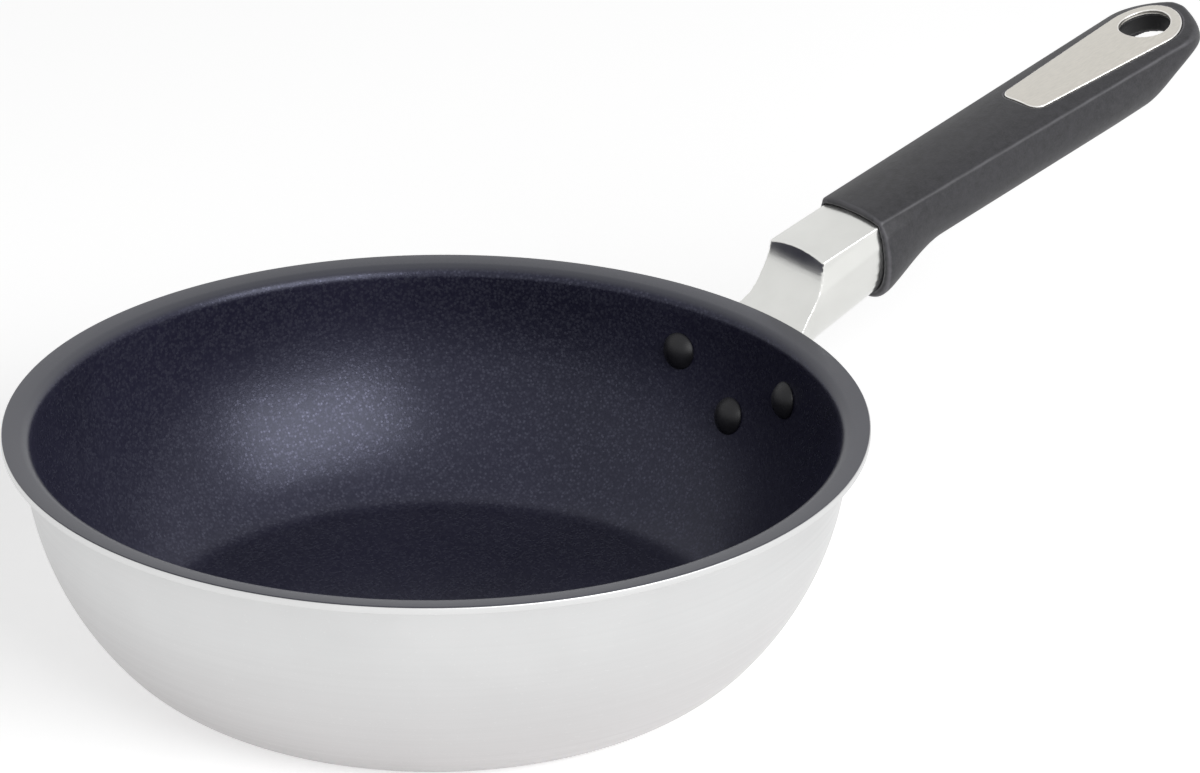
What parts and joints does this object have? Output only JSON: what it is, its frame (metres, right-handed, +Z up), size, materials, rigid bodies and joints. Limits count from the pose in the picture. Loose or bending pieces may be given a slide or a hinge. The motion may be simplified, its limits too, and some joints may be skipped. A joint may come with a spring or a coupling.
{
  "type": "omelette pan",
  "caption": "Deep round non-stick omelette pan with a flared rim, a riveted cast bracket and an upswept moulded grip with a steel inlay and a hanging hole.",
  "frame": {"origin": "centre of the flat underside of the base", "axes": "+X runs along the handle, +Z up out of the bowl, and the XZ plane is the plane of symmetry"},
  "size_m": [0.4066, 0.24, 0.1248],
  "materials": {
    "pan_aluminium": "satin pressed aluminium",
    "nonstick": "speckled non-stick coating",
    "base_steel": "turned steel",
    "bracket_metal": "polished casting",
    "rivet_coated": "coated rivet head",
    "grip_phenolic": "fine matt moulding",
    "inlay_steel": "satin",
    "screw_steel": "bright"
  },
  "bodies": {
    "root": {"pan_body": "pan_aluminium", "nonstick_lining": "nonstick", "base_disc": "base_steel", "handle_bracket": "bracket_metal", "rivet_left": "rivet_coated", "rivet_right": "rivet_coated", "rivet_lower": "rivet_coated", "handle_grip": "grip_phenolic", "inlay_plate": "inlay_steel", "screw_front": "screw_steel", "screw_rear": "screw_steel", "washer_front": "screw_steel", "washer_rear": "screw_steel"}
  },
  "joints": []
}
